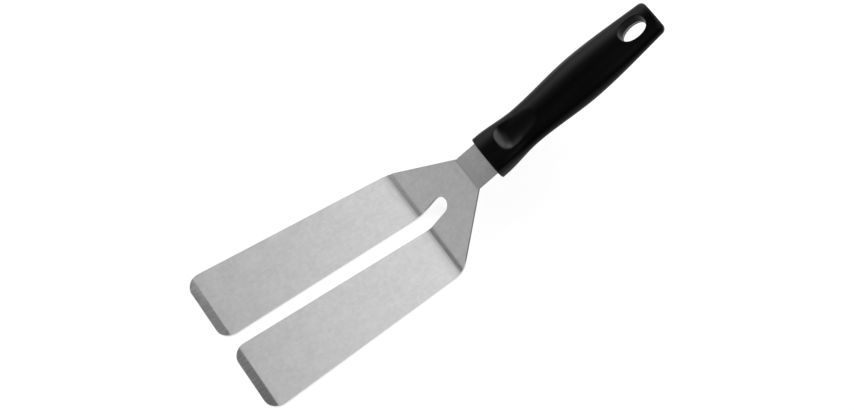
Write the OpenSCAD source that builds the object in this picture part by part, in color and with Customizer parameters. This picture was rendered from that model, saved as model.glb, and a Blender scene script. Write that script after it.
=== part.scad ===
// Two-tined panini spatula: a folded stainless blade with a handle moulded round its tang.
// +X runs from the front edge to the handle, +Z is up, and the underside of the tines lies on z = 0.
// The origin is on that plane, under the middle of the overall length.

/* [Sheet] */
// Thickness of the stainless sheet
sheet_t = 1.2; // [0.8:0.1:2]
// Radius of the upper face in the first fold, between the tines and the shoulder
fold1_r = 12; // [6:0.5:16]
// Radius of the lower face in the second fold, between the shoulder and the neck
fold2_r = 7; // [3:0.5:10]

/* [Tines] */
// Length of the tines from the front edge to the corner of the first fold
blade_len = 133.4; // [100:0.2:170]
// Width across the front edge of both tines
tip_w = 100; // [84:1:130]
// Width across both tines at the first fold
root_w = 79.2; // [64:0.2:95]
// Corner radius at the front of each tine
tip_r = 8.5; // [4:0.5:14]
// Length of the ground bevel behind the front edge
bevel_w = 5.3; // [3:0.1:9]
// Thickness left at the front edge
edge_t = 0.3; // [0.2:0.05:0.6]

/* [Slot] */
// Width of the slot between the tines at the front edge
slot_tip_w = 7.9; // [5:0.1:12]
// Width of the slot at the first fold and on the shoulder
slot_root_w = 10.4; // [6:0.1:14]
// How far the slot runs up the shoulder, past the corner of the fold
slot_past = 18.8; // [10:0.1:24]

/* [Shoulder and neck] */
// Length of the shoulder between the corners of the two folds
shoulder_len = 39.3; // [30:0.1:50]
// Angle of the shoulder above the tines
shoulder_angle = 36.5; // [28:0.5:48]
// Radius of the shoulder's outer corners at the first fold
heel_r = 8.5; // [2:0.5:9]
// Width of the neck
neck_w = 23.5; // [18:0.5:28]
// Length of the neck from the second fold to the front face of the handle
neck_len = 14; // [8:0.5:24]
// Angle of the neck, tang and handle above the tines
handle_angle = 19; // [8:0.5:26]

/* [Tang] */
// Width of the tang inside the handle
tang_w = 16; // [12:0.5:18]
// How far the neck runs into the handle at its full width
neck_in = 6; // [3:0.5:9]
// Handle material left between the end of the tang and the hanging hole
tang_wall = 12; // [6:0.5:20]
// Corner radius at the end of the tang and of the neck
tang_r = 2.5; // [1:0.5:5]
// Diameter of the locking holes that the handle material fills
lock_d = 7; // [4:0.5:9]
// Number of locking holes
lock_count = 3; // [2:1:4]
// Height of the middle of the tang above the handle's axis
tang_rise = 1.2; // [0:0.1:2]
// Clearance between the steel and the handle moulded round it
tang_gap = 0.05; // [0.02:0.01:0.2]

/* [Grip] */
// Length of the handle
handle_len = 124; // [110:1:150]
// Handle material beside the neck at the front face
collar_wall = 2.5; // [2:0.1:5]
// Width at the waist
waist_w = 25.5; // [22:0.5:29]
// Width at the belly
belly_w = 29.8; // [26:0.2:36]
// Width at the end
end_w = 22.8; // [20:0.2:28]
// Narrowing of the width at the end, in mm per mm of length
end_taper = 0.16; // [0:0.02:0.3]
// Thickness at the front face
collar_t = 16; // [14:0.5:22]
// Thickness at the waist
waist_t = 13.4; // [12:0.2:18]
// Thickness at the belly
belly_t = 17; // [14:0.5:24]
// Thickness at the end
end_t = 12.2; // [8.6:0.2:14]
// Distance of the waist from the front face
waist_at = 28.5; // [20:0.5:38]
// Distance of the belly from the front face
belly_at = 70; // [55:1:85]
// Length behind the front face before the grip narrows
collar_flat = 3; // [1:0.5:8]
// Rounding of the front face's edge
collar_r = 0.9; // [0.6:0.1:3]
// Rounding of the end
end_r = 3.4; // [2:0.1:4]
// Squareness of the section at the front face, where 2 is an ellipse
collar_square = 3; // [2:0.1:4]
// Squareness of the section at the waist and belly
belly_square = 2.2; // [2:0.1:4]
// Squareness of the section at the end
end_square = 2.4; // [2:0.1:4]

/* [Thumb rest] */
// Distance of the thumb rest from the front face
thumb_at = 11.3; // [8:0.1:20]
// How far the middle of the thumb rest's front runs ahead of its corners
thumb_bow = 0.8; // [0:0.1:1.5]
// Length of the thumb rest
thumb_len = 26; // [20:0.5:34]
// Width of the thumb rest at its front
thumb_w = 17.6; // [15:0.2:19]
// Width of the thumb rest at its tail
tail_w = 11.2; // [9:0.2:14]
// Depth of the thumb rest at its front
thumb_depth = 2.6; // [1.4:0.1:3]
// Depth of the thumb rest at its tail
tail_depth = 1; // [0.4:0.1:1.4]
// Radius of the hollow at the front of the thumb rest
thumb_r = 5; // [4:0.1:6]
// Radius of the hollow at the tail of the thumb rest
tail_r = 8; // [6:0.5:14]

/* [Hanging hole] */
// Length of the hanging hole where it is narrowest, half way through
hole_len = 15.4; // [12:0.2:18]
// Width of the hanging hole where it is narrowest
hole_w = 10.2; // [9:0.2:11]
// Radius of the ends of the hanging hole where it is narrowest
hole_end_r = 4.4; // [3:0.1:4.5]
// Draft of the hole, which widens from its middle to both rims, in degrees
hole_draft = 11; // [2:0.5:14]
// Distance of the middle of the hanging hole from the end of the handle
hole_from_end = 14.6; // [13:0.2:20]
// Chamfer round both rims of the hanging hole
hole_chamfer = 0.7; // [0.3:0.1:1.2]

/* [Hidden] */
$fn = 96;

// Facets round the grip and along it, and along each rounded edge
grip_sides = 48;
grip_rings = 30;
round_rings = 5;
// Facets round the spheres of the thumb rest, and round the arcs of the hanging hole
hull_facets = 32;
oval_facets = 72;
// Thickness of the flat ovals between which the hanging hole is stretched
oval_t = 0.2;
// Overshoot of every cut past the faces that it opens
over = 8;
// How far a piece that cuts a corner round laps over the edges beside it, and its arc runs past them
corner_lap = 1;
arc_lap = 0.004;
// How far the cut beside the neck laps over the end of the cut beside the shoulder
neck_lap = 0.05;

// Length on the upper face that the first fold takes from the flats beside it
fold1_back = fold1_r * tan(shoulder_angle / 2);

// Corners of the folded upper face in the side view
corner1 = [blade_len, sheet_t];
corner2 = corner1 + shoulder_len * heading(shoulder_angle);
collar_top = corner2 + neck_len * heading(handle_angle);
// The same corners on its lower face
lower1 = corner1 - sheet_t / cos(shoulder_angle / 2) * heading(90 + shoulder_angle / 2);
lower2 = corner2 - sheet_t / cos((shoulder_angle - handle_angle) / 2)
    * heading(90 + (shoulder_angle + handle_angle) / 2);
// Middle of the handle's front face
grip_front = collar_top - (sheet_t / 2 + tang_rise) * heading(handle_angle + 90);

// Taper of one edge of the tines, and angles of the edges in the flat
tine_taper = (root_w - tip_w) / 2 / blade_len;
slot_taper = (slot_root_w - slot_tip_w) / 2 / blade_len;
shoulder_taper = (neck_w - root_w) / 2 / shoulder_len;

// Tang and locking holes, measured from the front face of the handle
hole_at = handle_len - hole_from_end;
tang_len = hole_at - hole_len / 2 - tang_wall;
lock_first = neck_in + lock_d + tang_r;
lock_last = tang_len - lock_d - tang_r;
lock_pitch = (lock_last - lock_first) / (lock_count - 1);

// Overall length: the lower edge of the rounded end reaches furthest
end_reach = (handle_len - end_r) * cos(handle_angle) + (end_t / 2 - end_r) * sin(handle_angle) + end_r;
overall_len = grip_front.x + end_reach;

// Unit vector at an angle
function heading(a) = [cos(a), sin(a)];

// Smooth step from a to b for u from 0 to 1, arriving with slope m
function ease(a, b, u, m = 0) = a + (b - a) * u * u * (3 - 2 * u) + m * u * u * (u - 1);

// Value at a distance s behind the front face, from its values at the collar, waist, belly and end
function along(s, collar, waist, belly, end, end_slope = 0) =
    s < collar_flat ? collar :
    s < waist_at ? ease(collar, waist, (s - collar_flat) / (waist_at - collar_flat)) :
    s < belly_at ? ease(waist, belly, (s - waist_at) / (belly_at - waist_at)) :
    ease(belly, end, (s - belly_at) / (handle_len - belly_at), end_slope * (handle_len - belly_at));

function half_w(s) = along(s, neck_w + 2 * collar_wall, waist_w, belly_w, end_w, -end_taper) / 2;
function half_t(s) = along(s, collar_t, waist_t, belly_t, end_t) / 2;
function squareness(s) = along(s, collar_square, belly_square, belly_square, end_square);

// Signed power, for the superellipse section of the grip
function bend(v, p) = sign(v) * pow(abs(v), p);
function section(s, inset) = [
    for (k = [0 : grip_sides - 1])
        let (t = 360 * k / grip_sides, p = 2 / squareness(s))
        [s, (half_w(s) - inset) * bend(cos(t), p), (half_t(s) - inset) * bend(sin(t), p)]
];

// Distance along the grip and inset of the section, at each ring from the front face to the end
grip_stations = concat(
    [for (i = [0 : round_rings - 1]) let (a = 90 * i / round_rings)
        [collar_r * (1 - cos(a)), collar_r * (1 - sin(a))]],
    [for (i = [0 : grip_rings]) [collar_r + (handle_len - end_r - collar_r) * i / grip_rings, 0]],
    [for (i = [1 : round_rings]) let (a = 90 * i / round_rings)
        [handle_len - end_r * (1 - sin(a)), end_r * (1 - cos(a))]]
);

// The piece between a corner p, whose edges leave at angles a and b, and an arc of radius r that rounds it.
// It laps over both edges, and its arc runs a hair past them, so that it meets them in clean points.
module corner_piece(p, a, b, r, lap) {
    half = (b - a) / 2;
    mid = heading((a + b) / 2);
    centre = p + r / sin(half) * mid;
    difference() {
        polygon([
            p - lap / sin(half) * mid,
            p + r / tan(half) * heading(a) + lap * heading(a - 90),
            centre,
            p + r / tan(half) * heading(b) + lap * heading(b + 90)
        ]);
        translate(centre) circle(r + arc_lap);
    }
}

// Frames of the shoulder and the neck, with their upper faces on the plane of zero height
module on_shoulder() translate([corner1.x, 0, corner1.y]) rotate([0, -shoulder_angle, 0]) children();
module on_neck() translate([corner2.x, 0, corner2.y]) rotate([0, -handle_angle, 0]) children();
// Frame of the handle, from the middle of its front face
module on_handle() translate([grip_front.x, 0, grip_front.y]) rotate([0, -handle_angle, 0]) children();

// A flat shape through the whole sheet of the frame that it is drawn in
module through_sheet() translate([0, 0, -sheet_t - over]) linear_extrude(sheet_t + 2 * over) children();
module both_sides() {
    children();
    mirror([0, 1, 0]) children();
}

// Side view of the folded sheet with its ground front edge
module sheet_profile() {
    inner_lap = sheet_t / 2;
    reach = neck_len + tang_len + over;
    difference() {
        union() {
            polygon([
                [0, 0], lower1, lower2, lower2 + reach * heading(handle_angle),
                corner2 + reach * heading(handle_angle), corner2, corner1, [bevel_w, sheet_t], [0, edge_t]
            ]);
            corner_piece(corner1, shoulder_angle, 180, fold1_r, inner_lap);
            corner_piece(lower2, shoulder_angle + 180, handle_angle + 360, fold2_r, inner_lap);
        }
        corner_piece(lower1, shoulder_angle, 180, fold1_r + sheet_t, corner_lap);
        corner_piece(corner2, shoulder_angle + 180, handle_angle + 360, fold2_r + sheet_t, corner_lap);
    }
}

// Sheet beside the tines, with their rounded front corners
module beside_tines() {
    edge = atan(tine_taper);
    slot_edge = atan(slot_taper);
    polygon([
        [-over, tip_w / 2 - over * tine_taper],
        [blade_len + over, root_w / 2 + over * tine_taper],
        [blade_len + over, tip_w],
        [-over, tip_w]
    ]);
    corner_piece([0, tip_w / 2], -90, edge, tip_r, corner_lap);
    corner_piece([0, slot_tip_w / 2], slot_edge, 90, tip_r, corner_lap);
}

// Slot between the tines as far as the first fold
module tine_slot() polygon([
    [-over, -slot_tip_w / 2 + over * slot_taper],
    [blade_len, -slot_root_w / 2],
    [blade_len, slot_root_w / 2],
    [-over, slot_tip_w / 2 - over * slot_taper]
]);

// Round-ended slot on the shoulder
module shoulder_slot() {
    r = slot_root_w / 2;
    translate([-fold1_back / 2, -r]) square([slot_past - r + fold1_back / 2, slot_root_w]);
    translate([slot_past - r, 0]) circle(r);
}

// Sheet beside the shoulder, with its outer corner at the tines rounded
module beside_shoulder() {
    tine_edge = atan(tine_taper / cos(shoulder_angle));
    polygon([
        [-over, root_w / 2 - over * shoulder_taper],
        [shoulder_len - neck_lap, neck_w / 2 - neck_lap * shoulder_taper],
        [shoulder_len - neck_lap, root_w],
        [-over, root_w]
    ]);
    corner_piece([0, root_w / 2], tine_edge - 180, atan(shoulder_taper), heel_r, corner_lap);
}

// Flat shape of the neck and tang with its locking holes, grown by a clearance
module tang_plan(grow) {
    neck_end = neck_len + neck_in + grow;
    tang_end = neck_len + tang_len + grow;
    difference() {
        union() {
            translate([-over, -neck_w / 2 - grow]) square([over + neck_end, neck_w + 2 * grow]);
            translate([neck_len, -tang_w / 2 - grow]) square([tang_end - neck_len, tang_w + 2 * grow]);
        }
        both_sides() {
            corner_piece([neck_end, neck_w / 2 + grow], 180, 270, tang_r + grow, corner_lap);
            corner_piece([tang_end, tang_w / 2 + grow], 180, 270, tang_r + grow, corner_lap);
        }
        for (i = [0 : lock_count - 1])
            translate([neck_len + lock_first + i * lock_pitch, 0]) circle(lock_d / 2 - grow);
    }
}

// Sheet beside and behind the neck and tang
module beside_tang() difference() {
    translate([-neck_lap, -tip_w]) square([neck_lap + neck_len + tang_len + 2 * over, 2 * tip_w]);
    tang_plan(0);
}

// Grip lofted through its sections
module grip() {
    last = len(grip_stations) - 1;
    points = [for (g = grip_stations) each section(g[0], g[1])];
    sides = [
        for (i = [0 : last - 1], k = [0 : grip_sides - 1])
            let (
                a = i * grip_sides + k,
                b = i * grip_sides + (k + 1) % grip_sides,
                c = a + grip_sides,
                d = b + grip_sides
            )
            each [[a, c, d], [a, d, b]]
    ];
    front = [for (k = [0 : grip_sides - 1]) k];
    end = [for (k = [grip_sides - 1 : -1 : 0]) last * grip_sides + k];
    polyhedron(points, concat(sides, [front, end]), convexity = 4);
}

// Hollow for the thumb: deep at its bowed front, where small spheres make a crisp lip, and shallow at its tail
module thumb_rest() {
    front_rim = sqrt(2 * thumb_r * thumb_depth - thumb_depth * thumb_depth);
    tail_rim = sqrt(2 * tail_r * tail_depth - tail_depth * tail_depth);
    front_s = thumb_at + thumb_bow + front_rim;
    tail_s = thumb_at + thumb_len - tail_rim;
    front_z = half_t(front_s) - thumb_depth + thumb_r;
    tail_z = half_t(tail_s) - tail_depth + tail_r;
    hull() {
        translate([front_s - thumb_bow, 0, front_z]) sphere(thumb_r, $fn = hull_facets);
        both_sides() {
            translate([front_s, thumb_w / 2 - front_rim, front_z]) sphere(thumb_r, $fn = hull_facets);
            translate([tail_s, tail_w / 2 - tail_rim, tail_z]) sphere(tail_r, $fn = hull_facets);
        }
    }
}

// Oval of two end arcs and two side arcs that touch, grown by a margin
module oval(grow) {
    a = hole_len / 2;
    b = hole_w / 2;
    r = hole_end_r;
    side_r = (pow(a - r, 2) + b * b - r * r) / (2 * (b - r));
    reach = side_r * (a - r) / (side_r - r);
    intersection() {
        translate([0, b - side_r]) circle(side_r + grow);
        translate([0, side_r - b]) circle(side_r + grow);
        square([2 * reach, 2 * hole_w], center = true);
    }
    for (side = [-1, 1]) translate([side * (a - r), 0]) circle(r + grow);
}

// Hull of two ovals, one above the other
module flared(low, low_grow, high, high_grow) hull() {
    translate([0, 0, low]) linear_extrude(oval_t) oval(low_grow, $fn = oval_facets);
    translate([0, 0, high]) linear_extrude(oval_t) oval(high_grow, $fn = oval_facets);
}

// Hanging hole: narrowest half way through, where the halves of the mould meet, and drafted to both rims.
// The chamfers follow the fall of the faces at the rims.
module hanging_hole() translate([hole_at, 0, 0]) {
    rim = half_t(hole_at);
    fall = atan((half_t(hole_at - hole_len / 2) - half_t(hole_at + hole_len / 2)) / hole_len);
    wide = (rim - hole_chamfer) * tan(hole_draft);
    for (side = [0, 1]) mirror([0, 0, side]) {
        flared(-oval_t, 0, rim + over, (rim + over) * tan(hole_draft));
        translate([0, 0, rim]) rotate([0, fall, 0])
            flared(-hole_chamfer, wide, hole_chamfer, wide + 2 * hole_chamfer);
    }
}

// Folded sheet cut to the outline of the blade and its tang
module blank() difference() {
    rotate([90, 0, 0]) linear_extrude(tip_w + 2 * over, center = true) sheet_profile();
    through_sheet() both_sides() beside_tines();
    on_shoulder() through_sheet() both_sides() beside_shoulder();
    on_neck() through_sheet() beside_tang();
}

// Folded stainless blade, slotted between its tines and part of the way up the shoulder
module blade() color("silver") translate([-overall_len / 2, 0, 0]) difference() {
    blank();
    through_sheet() tine_slot();
    on_shoulder() through_sheet() shoulder_slot();
}

// Black moulded handle round the tang
module handle() color("#181818") translate([-overall_len / 2, 0, 0]) difference() {
    on_handle() difference() {
        grip();
        thumb_rest();
        hanging_hole();
    }
    on_neck() translate([0, 0, -sheet_t - tang_gap])
        linear_extrude(sheet_t + 2 * tang_gap) tang_plan(tang_gap);
}

blade();
handle();
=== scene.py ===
"""Panini spatula: a folded stainless blade and a black moulded handle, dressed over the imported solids."""
import math

import bmesh
import bpy
from bpy.props import FloatProperty, FloatVectorProperty, IntProperty, PointerProperty
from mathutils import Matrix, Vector


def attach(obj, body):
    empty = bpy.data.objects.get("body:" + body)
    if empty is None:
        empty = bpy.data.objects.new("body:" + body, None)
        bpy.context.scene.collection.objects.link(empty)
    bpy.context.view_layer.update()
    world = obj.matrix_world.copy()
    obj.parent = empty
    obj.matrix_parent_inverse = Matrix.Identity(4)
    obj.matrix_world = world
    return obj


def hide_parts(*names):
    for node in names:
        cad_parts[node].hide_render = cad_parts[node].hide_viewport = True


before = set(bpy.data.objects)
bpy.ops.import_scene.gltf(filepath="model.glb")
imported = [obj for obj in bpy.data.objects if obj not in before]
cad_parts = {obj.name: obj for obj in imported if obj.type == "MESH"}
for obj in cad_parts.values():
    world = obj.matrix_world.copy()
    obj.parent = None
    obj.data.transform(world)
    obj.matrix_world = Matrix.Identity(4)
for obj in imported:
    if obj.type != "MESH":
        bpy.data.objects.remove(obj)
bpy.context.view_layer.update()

bl_info = {
    "name": "Panini Spatula",
    "version": (1, 0, 0),
    "blender": (4, 5, 0),
    "location": "View3D > Sidebar > Spatula",
    "description": "Dresses a folded steel blade and a moulded handle",
    "category": "Object",
}

MM = 0.001
ROUND_STEPS = 7


def length(name, description, millimetres):
    """A size that a user would change, given in millimetres and kept in metres."""
    return FloatProperty(
        name=name, description=description, default=millimetres * MM, unit="LENGTH", precision=4
    )


def share(name, description, value):
    """A plain number from 0 upwards."""
    return FloatProperty(name=name, description=description, default=value, min=0.0)


def colour(name, description, value):
    """A colour that a user would change."""
    return FloatVectorProperty(
        name=name, description=description, default=value, subtype="COLOR", size=3, min=0.0, max=1.0
    )


def turn(name, description, degrees):
    """An angle that a user would change, given in degrees."""
    return FloatProperty(name=name, description=description, default=math.radians(degrees), subtype="ANGLE")


class SteelSettings(bpy.types.PropertyGroup):
    """Edges and finish of the stainless blade."""

    edge_round: length("Edge rounding", "Rounding of the deburred sheet edges", 0.14)
    bevel_tilt: turn("Bevel tilt", "Slope of the ground front bevel", 9.64)
    bevel_back: length("Bevel back", "How far behind the front edge the bevel ends", 6.0)
    sheet: length("Sheet", "Thickness of the sheet", 1.2)
    corner_at: length("Corner", "Where the tines and the shoulder would meet, behind the front edge", 133.4)
    tip_w: length("Tip width", "Width over the tines at the front", 100.0)
    root_w: length("Root width", "Width at the first fold", 79.2)
    neck_w: length("Neck width", "Width of the neck", 23.5)
    heel_r: length("Heel radius", "Rounding of the outer corners beside the first fold", 20.0)
    shoulder_long: length("Shoulder", "Length of the shoulder between the folds", 39.3)
    rise: turn("Rise", "Slope of the shoulder", 36.5)
    neck_rise: turn("Neck rise", "Slope of the neck", 19.0)
    packed_r: length("Packed fold", "Inner radius of the first fold of the packed solid", 12.0)
    packed_neck_r: length("Packed neck fold", "Inner radius of the second fold of the packed solid", 7.0)
    fold_long: length("Fold length", "Length of the first eased fold", 10.0)
    fold_lead: share("Fold lead-in", "How late the first eased fold tightens", 5.0)
    neck_fold_long: length("Neck fold length", "Length of the second eased fold", 7.0)
    neck_fold_lead: share("Neck fold lead-in", "How late the second eased fold tightens, from the neck", 2.0)
    satin: colour("Satin steel", "Colour of the satin faces", (0.62, 0.62, 0.622))
    ground: colour("Ground steel", "Colour of the ground bevel", (0.48, 0.48, 0.482))
    sheared: colour("Sheared steel", "Colour of the cut edges", (0.64, 0.64, 0.643))
    satin_rough: share("Satin roughness", "Roughness of the satin faces", 0.3)
    ground_rough: share("Ground roughness", "Roughness of the ground bevel", 0.3)


class GripSettings(bpy.types.PropertyGroup):
    """Sizes and finish of the moulded handle."""

    front: FloatVectorProperty(
        name="Front", description="Middle of the front face", default=(0.030253, 0.0, 0.027433), subtype="XYZ"
    )
    rise: turn("Rise", "Angle of the handle above the tines", 19.0)
    long: length("Length", "Length of the handle", 124.0)
    collar_w: length("Collar width", "Width at the front face", 28.5)
    waist_w: length("Waist width", "Width at the waist", 25.5)
    belly_w: length("Belly width", "Width at the belly", 29.8)
    end_w: length("End width", "Width at the end", 22.8)
    end_taper: share("End taper", "Narrowing of the width at the end", 0.16)
    collar_t: length("Collar thickness", "Thickness at the front face", 16.0)
    waist_t: length("Waist thickness", "Thickness at the waist", 13.4)
    belly_t: length("Belly thickness", "Thickness at the belly", 17.0)
    end_t: length("End thickness", "Thickness at the end", 12.2)
    collar_flat: length("Collar", "Length of the collar before the grip narrows", 3.0)
    waist_at: length("Waist place", "Distance of the waist from the front face", 28.5)
    belly_at: length("Belly place", "Distance of the belly from the front face", 70.0)
    collar_r: length("Collar rounding", "Rounding of the front edge", 0.9)
    end_r: length("End rounding", "Rounding of the corners of the end, seen from above", 3.4)
    end_edge: length("End edge", "Rounding of the end, seen from the side", 1.6)
    collar_square: share("Collar squareness", "Squareness of the section at the front", 3.0)
    belly_square: share("Belly squareness", "Squareness of the section at the waist and belly", 2.2)
    end_square: share("End squareness", "Squareness of the section at the end", 2.1)
    sides: IntProperty(name="Sides", description="Faces round the handle", default=200, min=24)
    thumb_at: length("Thumb rest place", "Distance of the thumb rest from the front face", 10.6)
    thumb_long: length("Thumb rest length", "Length of the thumb rest", 26.8)
    thumb_wide_at: length("Thumb rest widest place", "Distance of its widest place from its front", 7.5)
    thumb_w: length("Thumb rest width", "Width of the thumb rest where it is widest", 16.6)
    thumb_taper: share("Thumb rest taper", "Narrowing of each side towards the tail", 0.1)
    thumb_depth: length("Thumb rest depth", "Depth that the steep front adds to the flat cut", 1.6)
    thumb_fade: share("Thumb rest front share", "Share of its length along which the steep front fades", 0.6)
    thumb_dish: share("Thumb rest dish", "Hollow of its floor, per metre", 3.0)
    thumb_front: share("Thumb rest front", "Squareness of its front", 2.6)
    thumb_tail: share("Thumb rest tail", "Squareness of its tail", 3.0)
    thumb_scoop: share("Thumb rest scoop", "How flat its floor is", 4.5)
    lip: length("Thumb rest lip", "Softness of the lip", 0.24)
    hole_at: length("Hole place", "Distance of the hanging hole from the front face", 109.4)
    hole_long: length("Hole length", "Length of the hanging hole half way through", 15.1)
    hole_w: length("Hole width", "Width of the hanging hole half way through", 10.0)
    hole_end_r: length("Hole ends", "Radius of the ends of the hanging hole half way through", 4.5)
    hole_rim: length("Hole rim", "Rounding of the rims of the hanging hole", 0.6)
    hole_draft: turn("Hole draft", "Slope of the hole from its middle to both rims", 12.0)
    seam: length("Seam", "Gap between the neck and the handle moulded round it", 0.08)
    black: colour("Black", "Colour of the moulded plastic", (0.0003, 0.0003, 0.00032))
    gloss: share("Gloss", "Specular level of the plastic", 0.09)
    rubbed: share("Rubbed", "Coat that the hand leaves on the flanks", 0.27)
    polished: share("Polished", "Coat that the thumb leaves at the front of its rest", 1.0)
    rough: share("Roughness", "Roughness of the plastic", 0.32)


class StageSettings(bpy.types.PropertyGroup):
    """Floor, light and camera."""

    floor_size: length("Floor", "Width of the floor", 16000.0)
    floor: colour("Floor colour", "Colour of the floor", (0.56, 0.56, 0.56))
    floor_lift: share("Floor lift", "White that the floor adds to its own shade near the object", 0.7)
    ceiling: share("Ceiling", "Brightness of the studio ceiling", 0.04)
    side_walls: share("Side walls", "Brightness of the studio walls at both ends of the object", 0.4)
    front_wall: share("Front wall", "Brightness that the wall before the tines adds", 0.95)
    back_wall: share("Back wall", "Brightness of the studio wall behind the object", 0.7)
    camera: FloatVectorProperty(
        name="Camera", description="Place of the camera", default=(-0.25303, -0.59960, 1.15364), subtype="XYZ"
    )
    aim: FloatVectorProperty(
        name="Aim",
        description="Turn of the camera",
        default=(math.radians(29.0570), math.radians(6.1837), math.radians(-32.8920)),
        subtype="EULER",
    )
    lens: FloatProperty(name="Lens", description="Focal length on a 36 mm sensor, in mm", default=97.177)


# Shader maths


class Value:
    """A shader socket on which Python's operators add Math nodes."""

    def __init__(self, graph, socket):
        self.graph = graph
        self.socket = socket

    def __add__(self, other):
        return self.graph.maths("ADD", self, other)

    __radd__ = __add__

    def __mul__(self, other):
        return self.graph.maths("MULTIPLY", self, other)

    __rmul__ = __mul__

    def __sub__(self, other):
        return self.graph.maths("SUBTRACT", self, other)

    def __rsub__(self, other):
        return self.graph.maths("SUBTRACT", other, self)

    def __truediv__(self, other):
        return self.graph.maths("DIVIDE", self, other)


class Graph:
    """A node tree that is being filled."""

    def __init__(self, owner):
        owner.use_nodes = True
        self.tree = owner.node_tree
        self.tree.nodes.clear()

    def node(self, kind, settings=None, **sockets):
        """A node of a kind, with its settings made first and then the values or links of its sockets."""
        made = self.tree.nodes.new("ShaderNode" + kind)
        for name, value in (settings or {}).items():
            setattr(made, name, value)
        for name, value in sockets.items():
            key = int(name[1:]) if name[0] == "_" else name.replace("_", " ")
            socket = made.inputs[key]
            if isinstance(value, Value):
                self.tree.links.new(value.socket, socket)
            else:
                socket.default_value = value
        return made

    def out(self, made, name=0):
        """One output of a node."""
        return Value(self, made.outputs[name])

    def maths(self, operation, a, b):
        return self.out(self.node("Math", {"operation": operation}, _0=a, _1=b))

    def smooth(self, value, low, high):
        """0 below low, 1 above high and an even step between them."""
        settings = {"interpolation_type": "SMOOTHSTEP"}
        return self.out(self.node("MapRange", settings, _0=value, _1=low, _2=high, _3=0.0, _4=1.0))

    def place(self, scale=(1.0, 1.0, 1.0)):
        """Object coordinates, stretched."""
        at = self.node("TexCoord")
        return self.out(self.node("Mapping", Vector=self.out(at, "Object"), Scale=scale))

    def noise(self, place, scale, detail, rough):
        """Even noise about 0.5."""
        made = self.node("TexNoise", Vector=place, Scale=scale, Detail=detail, Roughness=rough)
        return self.out(made, "Fac")

    def blend(self, factor, a, b):
        """A colour between two colours."""
        made = self.node("Mix", {"data_type": "RGBA"}, _0=factor, _6=a, _7=b)
        return self.out(made, 2)

    def bump(self, height, distance, strength):
        return self.out(self.node("Bump", Height=height, Distance=distance, Strength=strength))

    def surface(self, shader):
        """Ends the tree in its output."""
        self.node("OutputMaterial", Surface=self.out(shader))

    def finish(self, normal, **sockets):
        """Ends the tree in a Principled surface with a fine relief."""
        self.surface(self.node("BsdfPrincipled", Normal=normal, **sockets))


def full(shade, level=1.0):
    """A colour with its alpha, brightened or darkened."""
    return (shade[0] * level, shade[1] * level, shade[2] * level, 1.0)


def satin_steel(s):
    """Satin rolled sheet: a fine grain along the blade, faint clouds, and painted shade as darker lines beside
    and in the folds.
    """
    made = bpy.data.materials.new("satin_steel")
    g = Graph(made)
    grain = g.noise(g.place((60.0, 1500.0, 60.0)), 1.0, 3.0, 0.6)
    cloud = g.noise(g.place(), 95.0, 3.0, 0.55)
    mottle = g.noise(g.place(), 420.0, 3.0, 0.6)
    x = g.out(g.node("SeparateXYZ", Vector=g.place()), "X")
    before_fold, in_fold = (-23.5 * MM, -17.8 * MM), (-16.5 * MM, -14.7 * MM)
    past_fold = (-14.7 * MM, -12.2 * MM)
    before_neck, past_neck = (15.2 * MM, 17.4 * MM), (17.8 * MM, 23.2 * MM)
    # painted shade: the colour is darkened before, in and just past the first fold and across the second fold,
    # where the sheet turns from the light
    fold_shade = g.smooth(x, *before_fold) * 0.5 + g.smooth(x, *in_fold) * 0.15
    fold_shade = fold_shade * (1.0 - g.smooth(x, *past_fold))
    fold_shade = fold_shade + g.smooth(x, *before_neck) * (1.0 - g.smooth(x, *past_neck)) * 0.75
    tone = 0.5 + (cloud - 0.5) * 0.7 + (grain - 0.5) * 1.0 + (mottle - 0.5) * 1.5 - fold_shade
    skin = g.blend(tone, full(s.satin, 0.9), full(s.satin, 1.1))
    rough = s.satin_rough + (grain - 0.5) * 0.07 + (cloud - 0.5) * 0.06
    g.finish(g.bump(grain + mottle * 0.4, 0.004 * MM, 0.6), Base_Color=skin, Roughness=rough, Metallic=1.0)
    return made


def ground_steel(s):
    """The front bevel, with the marks that a grinding belt leaves across it."""
    made = bpy.data.materials.new("ground_steel")
    g = Graph(made)
    marks = g.noise(g.place((90.0, 1150.0, 90.0)), 1.0, 4.0, 0.7)
    broad = g.noise(g.place((60.0, 420.0, 60.0)), 1.0, 2.0, 0.5)
    tone = 0.5 + (marks - 0.5) * 2.6 + (broad - 0.5) * 0.6
    skin = g.blend(tone, full(s.ground, 0.7), full(s.ground, 1.3))
    rough = s.ground_rough + (marks - 0.5) * 0.14
    g.finish(g.bump(marks, 0.012 * MM, 0.7), Base_Color=skin, Roughness=rough, Metallic=1.0)
    return made


def sheared_steel(s):
    """The cut edge of the sheet: bright round the tines, with painted shade that darkens it up the shoulder and
    the neck.
    """
    made = bpy.data.materials.new("sheared_steel")
    g = Graph(made)
    streak = g.noise(g.place((900.0, 900.0, 260.0)), 1.0, 3.0, 0.6)
    height = g.out(g.node("SeparateXYZ", Vector=g.place()), "Z")
    bright = g.blend(streak, full(s.sheared, 0.8), full(s.sheared, 1.2))
    # painted shade: the cut edge above the tines is darkened, where it reflects darker surroundings
    shaded_edge = g.blend(streak, full(s.sheared, 0.18), full(s.sheared, 0.29))
    above_tines = (1.6 * MM, 5.0 * MM)
    skin = g.blend(g.smooth(height, *above_tines), bright, shaded_edge)
    rough = 0.34 + (streak - 0.5) * 0.16
    g.finish(g.bump(streak, 0.015 * MM, 0.6), Base_Color=skin, Roughness=rough, Metallic=1.0)
    return made


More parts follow.
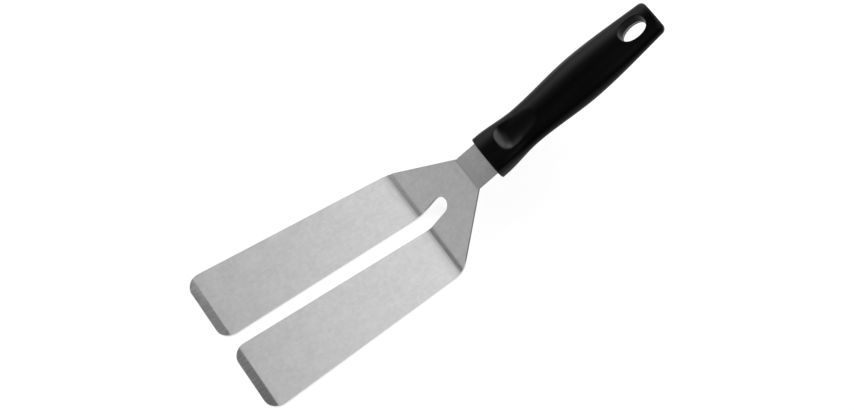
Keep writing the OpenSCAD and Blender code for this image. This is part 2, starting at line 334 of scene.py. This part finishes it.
def black_plastic(s):
    """Black moulded plastic with a fine spark-eroded skin, glossier where a hand and a thumb rub it."""
    made = bpy.data.materials.new("black_plastic")
    g = Graph(made)
    pores = g.noise(g.place(), 5200.0, 2.0, 0.6)
    skin = g.noise(g.place(), 1500.0, 3.0, 0.6)
    cloud = g.noise(g.place(), 60.0, 2.0, 0.5)
    tone = g.blend(cloud, full(s.black, 0.8), full(s.black, 1.25))
    rough = s.rough + (pores - 0.5) * 0.1 + (cloud - 0.5) * 0.08
    split = g.node("SeparateXYZ", Vector=g.place())
    x, z = g.out(split, "X") - s.front[0], g.out(split, "Z") - s.front[2]
    along = x * math.cos(s.rise) + z * math.sin(s.rise)
    up = z * math.cos(s.rise) - x * math.sin(s.rise)
    off = g.maths("ABSOLUTE", g.out(split, "Y"), 0.0)
    off_middle, above_rim = (1.5 * MM, 7.5 * MM), (2.0 * MM, 6.0 * MM)
    flank = g.smooth(off, *off_middle) * g.smooth(up, *above_rim)
    ahead = g.maths("ABSOLUTE", along - (s.thumb_at + s.thumb_wide_at), 0.0) / s.thumb_wide_at
    reach = g.maths("POWER", ahead, s.thumb_front) + g.maths("POWER", off / (s.thumb_w / 2), s.thumb_front)
    past_front, on_top = (14.5 * MM, 18.5 * MM), (0.0, 3.0 * MM)
    rest = (1.0 - g.smooth(reach, 0.85, 1.05)) * (1.0 - g.smooth(along, *past_front)) * g.smooth(up, *on_top)
    g.finish(
        g.bump(pores * 0.6 + skin, 0.012 * MM, 0.5),
        Base_Color=tone,
        Roughness=rough,
        Metallic=0.0,
        Specular_IOR_Level=s.gloss,
        Coat_Weight=g.maths("MAXIMUM", flank * s.rubbed, rest * s.polished),
        Coat_Roughness=s.rough,
    )
    return made


# Modelling helpers


def only(piece):
    """Selects one object and makes it active."""
    bpy.ops.object.select_all(action="DESELECT")
    piece.select_set(True)
    bpy.context.view_layer.objects.active = piece


def into_edit(piece):
    """Opens a piece in edit mode with nothing selected."""
    only(piece)
    bpy.ops.object.mode_set(mode="EDIT")
    bpy.ops.mesh.select_mode(type="VERT")
    bpy.ops.mesh.select_all(action="DESELECT")


def out_of_edit():
    bpy.ops.object.mode_set(mode="OBJECT")


def copy_of(node, name):
    """A merged copy of a CAD node, with a mesh of its own and flat faces in one piece."""
    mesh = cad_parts[node].data.copy()
    mesh.name = name
    mesh.materials.clear()
    piece = bpy.data.objects.new(name, mesh)
    bpy.context.scene.collection.objects.link(piece)
    into_edit(piece)
    bpy.ops.mesh.select_all(action="SELECT")
    bpy.ops.mesh.customdata_custom_splitnormals_clear()
    bpy.ops.mesh.remove_doubles(threshold=0.000001)
    bpy.ops.mesh.dissolve_limited(angle_limit=math.radians(0.2))
    out_of_edit()
    return piece


def apply_modifier(piece, kind, **settings):
    """Adds a modifier, sets it and applies it."""
    only(piece)
    bpy.ops.object.modifier_add(type=kind)
    modifier = piece.modifiers[-1]
    for name, value in settings.items():
        setattr(modifier, name, value)
    bpy.ops.object.modifier_apply(modifier=modifier.name)


def cut_away(piece, cutter):
    """Cuts a closed shape out of a piece and deletes the cutter."""
    apply_modifier(piece, "BOOLEAN", object=cutter, operation="DIFFERENCE", solver="MANIFOLD")
    bpy.data.objects.remove(cutter)


def smooth_shaded(piece, degrees):
    only(piece)
    bpy.ops.object.shade_smooth_by_angle(angle=math.radians(degrees))


def crisp_between(piece, one, other):
    """Marks the edges between the faces of two finishes sharp."""
    finishes = {}
    for face in piece.data.polygons:
        for key in face.edge_keys:
            finishes.setdefault(key, set()).add(face.material_index)
    for edge in piece.data.edges:
        if finishes[edge.key] == {one, other}:
            edge.use_edge_sharp = True


def join_frame(piece, node):
    """Rides the piece on the body, in place of its CAD node."""
    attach(piece, "root")
    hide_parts(node)


# Blade shape


class EasedFold:
    """A fold drawn again between the same two flats.

    It leaves the first flat slowly and ends tight at the second.
    """

    STEPS = 240
    ROW = 0.26 * MM

    def __init__(self, corner, heading, turned, packed_r, fold_long, lead):
        self.corner = corner
        self.ahead = Vector((math.cos(heading), math.sin(heading)))
        self.left = Vector((-self.ahead.y, self.ahead.x))
        self.turned, self.packed_r, self.fold_long, self.lead = turned, packed_r, fold_long, lead
        self.line = [Vector((0.0, 0.0))]
        for i in range(self.STEPS):
            a = self.tilt((i + 0.5) / self.STEPS)
            self.line.append(self.line[-1] + Vector((math.cos(a), math.sin(a))) * fold_long / self.STEPS)
        end = self.line[-1]
        self.reach = packed_r * math.tan(turned / 2)
        self.before = end.x - end.y / math.tan(turned) - self.reach
        self.packed_long = self.before + packed_r * turned
        self.eased_long = fold_long + self.reach - end.y / math.sin(turned)

    def tilt(self, u):
        return self.turned * min(1.0, u) ** self.lead

    def place(self, q, y=0.0):
        """A point of the object from its place ahead of the corner and to the left of it."""
        p = self.corner + self.ahead * q.x + self.left * q.y
        return Vector((p.x, y, p.y))

    def local(self, p):
        off = Vector((p.x, p.z)) - self.corner
        return off.dot(self.ahead), off.dot(self.left)

    def run(self, p):
        """How far a point lies past the corner, along the flats."""
        a, b = self.local(p)
        if a < -self.reach:
            return a
        past = math.atan2(a + self.reach, self.packed_r - b)
        if past < self.turned:
            return self.reach * (2 * past / self.turned - 1)
        return a * math.cos(self.turned) + b * math.sin(self.turned)

    def cut_rows(self, piece, beyond):
        """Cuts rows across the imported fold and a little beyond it, so that the sheet can take a new shape."""
        into_edit(piece)
        centre = Vector((-self.reach, self.packed_r))
        for i in range(round((self.packed_long + beyond) / self.ROW) + 1):
            along = i * self.ROW - self.before
            a = min(self.turned, max(0.0, along / self.packed_r))
            facing = Vector((math.cos(a), math.sin(a)))
            q = centre + facing * (along - self.packed_r * a)
            along_sheet = self.place(facing) - self.place(Vector((0, 0)))
            bpy.ops.mesh.select_all(action="SELECT")
            bpy.ops.mesh.bisect(plane_co=self.place(q), plane_no=along_sheet)
        out_of_edit()

    def moved(self, p):
        """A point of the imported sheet, carried over to the eased fold."""
        a, b = self.local(p)
        if a < -self.reach:
            along, height = a + self.reach + self.before, b
        else:
            past = math.atan2(a + self.reach, self.packed_r - b)
            if past >= self.turned:
                return p
            along = self.before + self.packed_r * past
            height = self.packed_r - math.hypot(a + self.reach, self.packed_r - b)
        if along <= 0:
            return p
        u = along * self.eased_long / self.packed_long / self.fold_long
        i = min(self.STEPS - 1, int(u * self.STEPS))
        a = self.tilt(u)
        on = Vector((math.cos(a), math.sin(a))) * (u - i / self.STEPS) * self.fold_long
        q = self.line[i] + on + Vector((-math.sin(a), math.cos(a))) * height
        return self.place(q - Vector((self.reach + self.before, 0.0)), p.y)

    def bend(self, piece):
        for v in piece.data.vertices:
            v.co = self.moved(v.co)


def round_heels(piece, fold, s):
    """Rounds the two outer corners beside the first fold."""
    tine = math.atan((s.tip_w - s.root_w) / 2 / s.corner_at)
    side = math.atan((s.root_w - s.neck_w) / 2 / s.shoulder_long)
    a, b = Vector((math.sin(tine), math.cos(tine))), Vector((math.sin(side), math.cos(side)))
    centre = Vector((0.0, s.root_w / 2)) - (a + b) * s.heel_r / (1 + a.dot(b))
    for v in piece.data.vertices:
        t = fold.run(v.co) - centre.x
        if math.sin(tine) < t / s.heel_r < math.sin(side):
            limit = centre.y + math.sqrt(s.heel_r**2 - t * t)
            v.co.y = max(-limit, min(limit, v.co.y))


def folded_again(piece, front, s):
    """Gives the copied sheet its rounded heels and its two eased folds, measured from its front edge."""
    first = Vector((front + s.corner_at, s.sheet))
    up = Vector((math.cos(s.rise), math.sin(s.rise)))
    half = (s.rise - s.neck_rise) / 2
    second = first + up * s.shoulder_long + Vector((up.y, -up.x)) * s.sheet + up * s.sheet * math.tan(half)
    tines = EasedFold(first, 0.0, s.rise, s.packed_r, s.fold_long, s.fold_lead)
    back = math.pi + s.neck_rise
    neck = EasedFold(second, back, 2 * half, s.packed_neck_r, s.neck_fold_long, s.neck_fold_lead)
    tines.cut_rows(piece, beyond=6 * MM)
    neck.cut_rows(piece, beyond=0.0)
    round_heels(piece, tines, s)
    tines.bend(piece)
    neck.bend(piece)


# Handle shape


def ease(a, b, u, slope=0.0):
    """Smooth step from a to b for u from 0 to 1, arriving with a slope."""
    return a + (b - a) * u * u * (3 - 2 * u) + slope * u * u * (u - 1)


class GripForm:
    """The handle's surface, along x from the middle of its front face."""

    def __init__(self, s):
        self.s = s

    def along(self, x, collar, waist, belly, end, end_slope=0.0):
        s = self.s
        if x < s.collar_flat:
            return collar
        if x < s.waist_at:
            return ease(collar, waist, (x - s.collar_flat) / (s.waist_at - s.collar_flat))
        if x < s.belly_at:
            return ease(waist, belly, (x - s.waist_at) / (s.belly_at - s.waist_at))
        run = s.long - s.belly_at
        return ease(belly, end, (x - s.belly_at) / run, end_slope * run)

    def half_w(self, x):
        s = self.s
        return self.along(x, s.collar_w, s.waist_w, s.belly_w, s.end_w, -s.end_taper) / 2

    def half_t(self, x):
        s = self.s
        return self.along(x, s.collar_t, s.waist_t, s.belly_t, s.end_t) / 2

    def square(self, x):
        s = self.s
        return self.along(x, s.collar_square, s.belly_square, s.belly_square, s.end_square)

    def thinned(self, x, inset):
        """How far the thickness is drawn in where the width is drawn in by an inset."""
        s = self.s
        if x < s.belly_at:
            return inset
        past = min(1.0, max(0.0, (x - s.long) / s.end_edge + 1))
        return s.end_edge * (1 - math.sqrt(1 - past * past))

    def on_ring(self, x, inset, angle):
        """Point of the rounded-square section at a distance x, drawn in by an inset."""
        n = self.square(x)
        w = self.half_w(x) - inset
        t = self.half_t(x) - self.thinned(x, inset)
        c, z = math.cos(angle), math.sin(angle)
        r = (abs(c / w) ** n + abs(z / t) ** n) ** (-1 / n)
        return Vector((x, r * c, r * z))

    def top(self, x, y):
        """Height of the upper surface."""
        n = self.square(x)
        return self.half_t(x) * max(0.0, 1 - abs(y / self.half_w(x)) ** n) ** (1 / n)

    def scoop(self, x, y):
        """Depth of the egg-shaped thumb rest, negative outside it: a nearly flat cut with a steep front."""
        s = self.s
        back = x - s.thumb_at - s.thumb_wide_at
        run = s.thumb_long - s.thumb_wide_at if back > 0 else s.thumb_wide_at
        n = s.thumb_tail if back > 0 else s.thumb_front
        half = s.thumb_w / 2 - s.thumb_taper * max(0.0, back)
        reach = ((abs(back) / run) ** n + (abs(y) / half) ** n) ** (1 / n)
        bowl = s.thumb_depth * (1 - reach**s.thumb_scoop)
        if reach >= 1:
            return bowl
        edge = half * (1 - (abs(back) / run) ** n) ** (1 / n)
        flat = self.top(x, y) - self.top(x, edge) + s.thumb_dish * (edge * edge - y * y)
        return flat + bowl * ease(1, 0, min(1.0, (x - s.thumb_at) / s.thumb_long / s.thumb_fade))

    def pressed(self, point):
        """A point of the upper surface, pressed down into the thumb rest with a soft lip."""
        if point.z <= 0 or abs(point.y) > self.s.thumb_w or point.x > self.s.thumb_at + 2 * self.s.thumb_long:
            return point
        depth = self.scoop(point.x, point.y)
        return point - Vector((0, 0, (depth + math.hypot(depth, self.s.lip)) / 2))

    def stations(self):
        """Distance and inset of each ring from the front face to the end."""
        s = self.s
        found = []
        for i in range(ROUND_STEPS):
            a = math.pi / 2 * i / ROUND_STEPS
            found.append((s.collar_r * (1 - math.cos(a)), s.collar_r * (1 - math.sin(a))))
        fine_from, fine_to = s.thumb_at - 2 * MM, s.thumb_at + s.thumb_long + 3 * MM
        for low, high, step in (
            (s.collar_r, fine_from, 0.8 * MM),
            (fine_from, fine_to, 0.34 * MM),
            (fine_to, s.long - s.end_r, 1.4 * MM),
        ):
            count = round((high - low) / step)
            found += [(low + (high - low) * i / count, 0.0) for i in range(count)]
        for i in range(3 * ROUND_STEPS + 1):
            a = math.pi / 2 * i / ROUND_STEPS / 3
            found.append((s.long - s.end_r * (1 - math.sin(a)), s.end_r * (1 - math.cos(a))))
        return found

    def oval(self, angle, grow):
        """Point of the hanging hole's outline where it faces an angle, grown outwards."""
        s = self.s
        a, b, r = s.hole_long / 2, s.hole_w / 2, s.hole_end_r
        side_r = ((a - r) ** 2 + b * b - r * r) / (2 * (b - r))
        c, z = math.cos(angle), math.sin(angle)
        if side_r * abs(c) < side_r * (a - r) / (side_r - r):
            return Vector(((side_r + grow) * c, math.copysign(side_r - b, -z) + (side_r + grow) * z))
        return Vector((math.copysign(a - r, c) + (r + grow) * c, (r + grow) * z))


def open_ring(name, sides):
    """A bare ring in edit mode, all selected, whose vertices know the angle that they were drawn at."""
    bpy.ops.object.select_all(action="DESELECT")
    bpy.ops.mesh.primitive_circle_add(vertices=sides, radius=MM, fill_type="NOTHING")
    piece = bpy.context.object
    piece.name = piece.data.name = name
    into_edit(piece)
    bpy.ops.mesh.select_all(action="SELECT")
    mesh = bmesh.from_edit_mesh(piece.data)
    facing = mesh.verts.layers.float.new("facing")
    for v in mesh.verts:
        v[facing] = math.atan2(v.co.y, v.co.x)
    bmesh.update_edit_mesh(piece.data)
    return piece


def shape_ring(piece, at):
    """Moves each selected vertex to the place that its angle has."""
    mesh = bmesh.from_edit_mesh(piece.data)
    facing = mesh.verts.layers.float["facing"]
    for v in mesh.verts:
        if v.select:
            v.co = at(v[facing])
    bmesh.update_edit_mesh(piece.data)


def close_ends(piece):
    """Fills the two open ends, turns the faces outwards and leaves edit mode."""
    bpy.ops.mesh.select_all(action="SELECT")
    bpy.ops.mesh.fill_holes(sides=0)
    bpy.ops.mesh.select_all(action="SELECT")
    bpy.ops.mesh.normals_make_consistent(inside=False)
    out_of_edit()
    piece.data.attributes.remove(piece.data.attributes["facing"])


def lofted_grip(form):
    """The grip without its cuts: a ring extruded from station to station, with the thumb rest pressed in."""
    piece = open_ring("grip", form.s.sides)
    for i, (x, inset) in enumerate(form.stations()):
        if i:
            bpy.ops.mesh.extrude_region_move()
        shape_ring(piece, lambda angle: form.on_ring(x, inset, angle))
    mesh = bmesh.from_edit_mesh(piece.data)
    for v in mesh.verts:
        v.co = form.pressed(v.co)
    bmesh.update_edit_mesh(piece.data)
    close_ends(piece)
    return piece


def hole_cutter(form):
    """The hanging hole as a closed shape: narrowest half way through, with drafted walls and rounded rims."""
    s = form.s
    over = 0.6 * MM
    rim_end = math.radians(84)
    ridge = 0.06
    slope = math.tan(s.hole_draft)
    half = []
    for i in range(ROUND_STEPS + 1):
        a = s.hole_draft + (rim_end - s.hole_draft) * (1 - i / ROUND_STEPS)
        half.append((s.hole_rim * (1 - math.sin(a)), s.hole_rim * (math.cos(s.hole_draft) - math.cos(a))))
    half.insert(0, (-over, half[0][1] + over))
    rings = [(1, depth, grow) for depth, grow in half]
    rings += [(level, 0.0, 0.0) for level in (ridge, 0.0, -ridge)]
    rings += [(-1, depth, grow) for depth, grow in half[::-1]]

    def at(angle):
        rim = form.half_t(s.hole_at) - s.hole_rim * (1 - math.sin(s.hole_draft))
        p = form.oval(angle, grow + rim * slope * abs(side))
        x = s.hole_at + p.x
        return Vector((x, p.y, side * (form.top(x, p.y) - depth)))

    piece = open_ring("hole_cutter", 144)
    for i, (side, depth, grow) in enumerate(rings):
        if i:
            bpy.ops.mesh.extrude_region_move()
        shape_ring(piece, at)
    close_ends(piece)
    return piece


# Operators


# How far a face of the sheet may lean sideways, and how level it stays, before it counts as a cut edge
EDGE_LEAN = 0.02
EDGE_LEVEL = 0.78


class SPATULA_OT_blade(bpy.types.Operator):
    """Deburrs a copy of the folded blade and finishes its faces, its bevel and its cut edges"""

    bl_idname = "spatula.blade"
    bl_label = "Blade"

    def execute(self, context):
        s = context.scene.spatula_steel
        piece = copy_of("blade", "blade_sheet")
        front = min(v.co.x for v in piece.data.vertices)
        folded_again(piece, front, s)
        apply_modifier(
            piece, "BEVEL", width=s.edge_round, segments=3, limit_method="ANGLE", angle_limit=math.radians(40)
        )
        for finish in (satin_steel(s), ground_steel(s), sheared_steel(s)):
            piece.data.materials.append(finish)
        ground = Vector((-math.sin(s.bevel_tilt), 0, math.cos(s.bevel_tilt)))
        for face in piece.data.polygons:
            n = face.normal
            if face.center.x < front + s.bevel_back and n.angle(ground) < math.radians(2):
                face.material_index = 1
            elif abs(n.y) > EDGE_LEAN or abs(n.z) < EDGE_LEVEL:
                face.material_index = 2
        smooth_shaded(piece, 40)
        crisp_between(piece, 0, 1)
        apply_modifier(piece, "WEIGHTED_NORMAL", weight=100, keep_sharp=True)
        join_frame(piece, "blade")
        return {"FINISHED"}


class SPATULA_OT_handle(bpy.types.Operator):
    """Lofts the handle, presses its thumb rest, cuts its hanging hole and lets the tang into it"""

    bl_idname = "spatula.handle"
    bl_label = "Handle"

    def execute(self, context):
        s = context.scene.spatula_grip
        form = GripForm(s)
        piece = lofted_grip(form)
        cut_away(piece, hole_cutter(form))
        piece.rotation_euler = (0, -s.rise, 0)
        piece.location = s.front
        only(piece)
        bpy.ops.object.transform_apply(location=True, rotation=True, scale=True)
        tang = copy_of("blade", "tang_room")
        into_edit(tang)
        bpy.ops.mesh.select_all(action="SELECT")
        bpy.ops.transform.shrink_fatten(value=s.seam, use_even_offset=True)
        out_of_edit()
        cut_away(piece, tang)
        piece.data.materials.clear()
        piece.data.materials.append(black_plastic(s))
        for face in piece.data.polygons:
            face.material_index = 0
        smooth_shaded(piece, 34)
        apply_modifier(piece, "WEIGHTED_NORMAL", weight=100, keep_sharp=True)
        join_frame(piece, "handle")
        return {"FINISHED"}


# Name, place, aim, width, height and radiance of each soft panel
PANELS = (
    ("back_panel", (-0.26, 1.6, 1.25), (0.0, 0.0, 0.0), 1.8, 1.15, 1.3),
    ("top_panel", (0.93, 0.4, 1.5), (0.0, 0.0, 0.0), 1.8, 1.9, 1.2),
    ("low_panel", (1.05, 1.1, 0.72), (0.05, 0.0, 0.04), 2.5, 0.95, 0.55),
    ("front_panel", (0.95, -1.0, 1.45), (0.0, 0.0, 0.0), 2.0, 1.8, 0.75),
)


def panel_light(name, place, aim, width, height, radiance):
    """A soft panel that shines on a point with an even radiance."""
    data = bpy.data.lights.new(name, "AREA")
    data.shape = "RECTANGLE"
    data.size = width
    data.size_y = height
    data.energy = radiance * math.pi * width * height
    lamp = bpy.data.objects.new(name, data)
    lamp.location = place
    lamp.rotation_euler = (Vector(aim) - Vector(place)).to_track_quat("-Z", "Y").to_euler()
    lamp.visible_camera = False
    bpy.context.scene.collection.objects.link(lamp)


def studio_world(s):
    """A studio with a dim ceiling, pale walls at both ends, brighter before the tines, and a wall behind."""
    world = bpy.data.worlds.new("studio")
    bpy.context.scene.world = world
    g = Graph(world)
    at = g.node("TexCoord")
    split = g.node("SeparateXYZ", Vector=g.out(at, "Generated"))
    across = g.out(split, "X") * g.out(split, "X")
    back = g.maths("MAXIMUM", g.out(split, "Y"), 0.0)
    low = 1.0 - g.maths("MAXIMUM", g.out(split, "Z"), 0.0)
    ahead = g.maths("MAXIMUM", 0.0 - g.out(split, "X"), 0.0)
    level = s.ceiling + s.side_walls * (across * across) + s.back_wall * (back * back * low * low)
    level = level + s.front_wall * (ahead * ahead * across)
    shader = g.node("Background", Color=(1.0, 1.0, 1.0, 1.0), Strength=level)
    g.node("OutputWorld", Surface=g.out(shader))


def pale_floor(s):
    """A pale floor that keeps its shadows and turns white away from the object."""
    bpy.ops.object.select_all(action="DESELECT")
    bpy.ops.mesh.primitive_plane_add(size=s.floor_size)
    floor = bpy.context.object
    floor.name = floor.data.name = "floor"
    made = bpy.data.materials.new("pale_floor")
    g = Graph(made)
    seen = g.node("LightPath")
    looked_at = g.maths("MAXIMUM", g.out(seen, "Is Camera Ray"), g.out(seen, "Is Glossy Ray"))
    looked_at = g.maths("MAXIMUM", looked_at, g.out(seen, "Is Transmission Ray"))
    away = g.out(g.node("VectorMath", {"operation": "LENGTH"}, _0=g.place()), "Value")
    matte = g.node("BsdfDiffuse", Color=full(s.floor))
    lift = g.node("Emission", Color=(1.0, 1.0, 1.0, 1.0), Strength=s.floor_lift * looked_at)
    near = g.node("AddShader", _0=g.out(matte), _1=g.out(lift))
    white = g.node("Emission", Color=(1.0, 1.0, 1.0, 1.0), Strength=1.0)
    both = g.node("MixShader", _0=g.smooth(away, 0.3, 1.2) * looked_at, _1=g.out(near), _2=g.out(white))
    g.surface(both)
    floor.data.materials.append(made)


class SPATULA_OT_stage(bpy.types.Operator):
    """Sets the pale floor, the studio light and the camera"""

    bl_idname = "spatula.stage"
    bl_label = "Stage"

    def execute(self, context):
        s = context.scene.spatula_stage
        pale_floor(s)
        studio_world(s)
        for panel in PANELS:
            panel_light(*panel)
        lens = bpy.data.cameras.new("camera")
        lens.lens = s.lens
        lens.sensor_width = 36.0
        lens.sensor_fit = "HORIZONTAL"
        lens.clip_start = 0.05
        lens.clip_end = 60.0
        camera = bpy.data.objects.new("camera", lens)
        camera.location = s.camera
        camera.rotation_euler = s.aim
        context.scene.collection.objects.link(camera)
        context.scene.camera = camera
        context.scene.view_settings.view_transform = "Standard"
        return {"FINISHED"}


class SPATULA_PT_sidebar(bpy.types.Panel):
    """Lists the pieces of the spatula"""

    bl_label = "Panini Spatula"
    bl_idname = "SPATULA_PT_sidebar"
    bl_space_type = "VIEW_3D"
    bl_region_type = "UI"
    bl_category = "Spatula"

    def draw(self, context):
        for piece in PIECES:
            self.layout.operator(piece.bl_idname)


PIECES = (SPATULA_OT_blade, SPATULA_OT_handle, SPATULA_OT_stage)
SETTINGS = {"spatula_steel": SteelSettings, "spatula_grip": GripSettings, "spatula_stage": StageSettings}


def register():
    for kind in (*SETTINGS.values(), *PIECES, SPATULA_PT_sidebar):
        bpy.utils.register_class(kind)
    for name, kind in SETTINGS.items():
        setattr(bpy.types.Scene, name, PointerProperty(type=kind))


def unregister():
    for name in SETTINGS:
        delattr(bpy.types.Scene, name)
    for kind in (SPATULA_PT_sidebar, *reversed(PIECES), *reversed(SETTINGS.values())):
        bpy.utils.unregister_class(kind)


def main():
    register()
    bpy.ops.spatula.blade()
    bpy.ops.spatula.handle()
    bpy.ops.spatula.stage()


if __name__ == "__main__":
    main()
